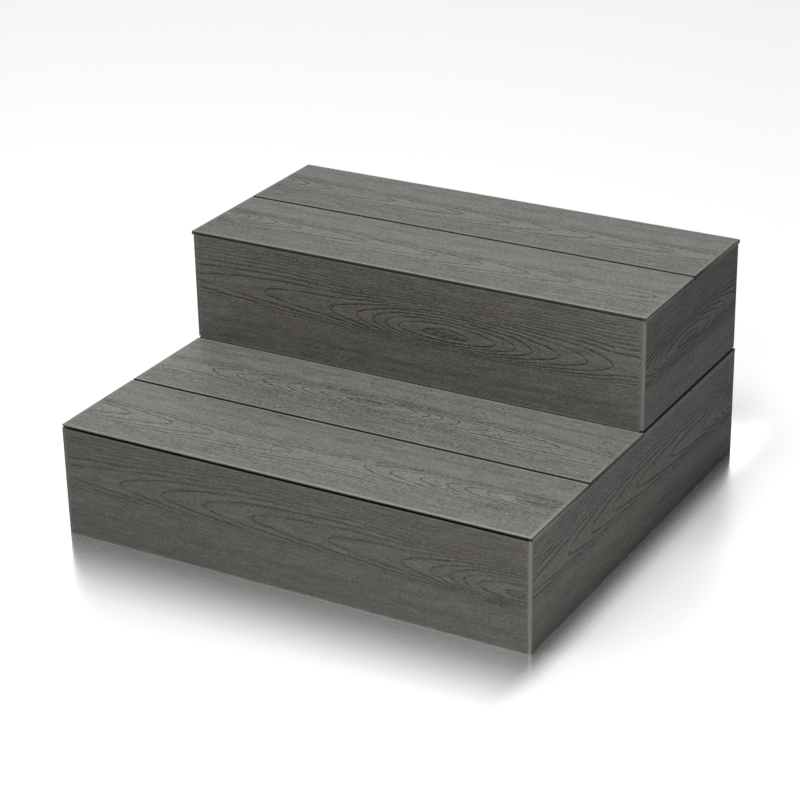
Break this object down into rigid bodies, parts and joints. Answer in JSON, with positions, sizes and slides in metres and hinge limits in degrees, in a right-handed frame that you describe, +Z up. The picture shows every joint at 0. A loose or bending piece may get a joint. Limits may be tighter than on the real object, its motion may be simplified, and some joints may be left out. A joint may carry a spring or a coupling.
{
  "type": "spa steps",
  "caption": "Spa steps: a half-depth box of embossed composite boards stands on a full-depth one, each with split treads and mitred skirts over a timber frame.",
  "frame": {"origin": "on the floor, under the middle of the whole object's box", "axes": "+X along the steps' width, to the right of a person who faces them; -Y out of the front, towards that person; +Y towards the spa; +Z up"},
  "size_m": [0.813, 0.747, 0.381],
  "materials": {
    "tread_board": "weathered grey wood-plastic composite, deep embossed plain-sawn grain, matte",
    "skirt_board": "weathered grey wood-plastic composite with warm brown streaks, deep embossed plain-sawn grain, matte",
    "frame_timber": "planed pressure-treated softwood, dry",
    "zinc_plate": "galvanised, satin spangle",
    "screw_steel": "stainless, satin",
    "black_clip": "black coated stainless, matte",
    "rubber_pad": "black rubber, matte"
  },
  "bodies": {
    "root": {"coach_screw_washers": "screw_steel", "coach_screws": "screw_steel", "foot_pads": "rubber_pad", "lower_back_left_post": "frame_timber", "lower_back_leg": "frame_timber", "lower_back_panel": "skirt_board", "lower_back_rail": "frame_timber", "lower_back_right_post": "frame_timber", "lower_cross_bearer": "frame_timber", "lower_edge_angle_screws": "screw_steel", "lower_edge_angles": "zinc_plate", "lower_frame_angle_screws": "screw_steel", "lower_frame_angles": "zinc_plate", "lower_front_fascia": "skirt_board", "lower_front_left_post": "frame_timber", "lower_front_leg": "frame_timber", "lower_front_rail": "frame_timber", "lower_front_right_post": "frame_timber", "lower_joist_1": "frame_timber", "lower_joist_2": "frame_timber", "lower_joist_3": "frame_timber", "lower_joist_4": "frame_timber", "lower_left_panel": "skirt_board", "lower_panel_screws": "screw_steel", "lower_right_panel": "skirt_board", "lower_tread_1": "tread_board", "lower_tread_2": "tread_board", "lower_tread_3": "tread_board", "lower_tread_4": "tread_board", "module_spacers": "rubber_pad", "tread_clip_screws": "black_clip", "tread_clips": "black_clip", "upper_back_left_post": "frame_timber", "upper_back_leg": "frame_timber", "upper_back_panel": "skirt_board", "upper_back_rail": "frame_timber", "upper_back_right_post": "frame_timber", "upper_edge_angle_screws": "screw_steel", "upper_edge_angles": "zinc_plate", "upper_frame_angle_screws": "screw_steel", "upper_frame_angles": "zinc_plate", "upper_front_fascia": "skirt_board", "upper_front_left_post": "frame_timber", "upper_front_leg": "frame_timber", "upper_front_rail": "frame_timber", "upper_front_right_post": "frame_timber", "upper_joist_1": "frame_timber", "upper_joist_2": "frame_timber", "upper_joist_3": "frame_timber", "upper_joist_4": "frame_timber", "upper_left_cleat": "frame_timber", "upper_left_panel": "skirt_board", "upper_panel_screws": "screw_steel", "upper_right_cleat": "frame_timber", "upper_right_panel": "skirt_board", "upper_tread_1": "tread_board", "upper_tread_2": "tread_board"}
  },
  "joints": []
}
